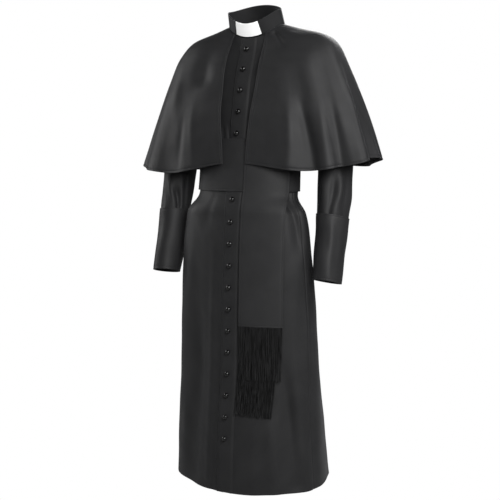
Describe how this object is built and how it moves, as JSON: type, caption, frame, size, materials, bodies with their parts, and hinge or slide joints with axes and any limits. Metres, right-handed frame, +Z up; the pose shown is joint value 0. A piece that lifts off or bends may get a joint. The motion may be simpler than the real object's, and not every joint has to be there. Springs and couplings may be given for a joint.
{
  "type": "cassock",
  "caption": "Long black clerical cassock filled out as worn, with a buttoned front, waist sash with fringed tails, shoulder cape, deep cuffs and a stand collar with a white tab.",
  "frame": {"origin": "where the wearer's shoulders carry it: on the body's upright axis, level with the base of the collar at the side of the neck", "axes": "+X towards the wearer's left, -Y the way the garment faces, +Z up"},
  "size_m": [0.7681, 0.414, 1.434],
  "materials": {
    "black_cloth": "satin twill",
    "sash_cloth": "satin twill",
    "fringe_cord": "soft twisted strands",
    "white_tab": "smooth matt",
    "black_button": "glossy"
  },
  "bodies": {
    "root": {"front_left": "black_cloth", "front_right": "black_cloth", "back": "black_cloth", "button_band": "black_cloth", "sleeve_left": "black_cloth", "sleeve_right": "black_cloth", "cuff_left": "black_cloth", "cuff_right": "black_cloth", "cape": "black_cloth", "collar": "black_cloth", "sash_band": "sash_cloth", "sash_tail_over": "sash_cloth", "sash_tail_under": "sash_cloth", "fringe_over": "fringe_cord", "fringe_under": "fringe_cord", "collar_tab": "white_tab", "button_01": "black_button", "button_02": "black_button", "button_03": "black_button", "button_04": "black_button", "button_05": "black_button", "button_06": "black_button", "button_07": "black_button", "button_08": "black_button", "button_09": "black_button", "button_10": "black_button", "button_11": "black_button", "button_12": "black_button", "button_13": "black_button", "button_14": "black_button", "button_15": "black_button", "button_16": "black_button", "button_17": "black_button"}
  },
  "joints": []
}
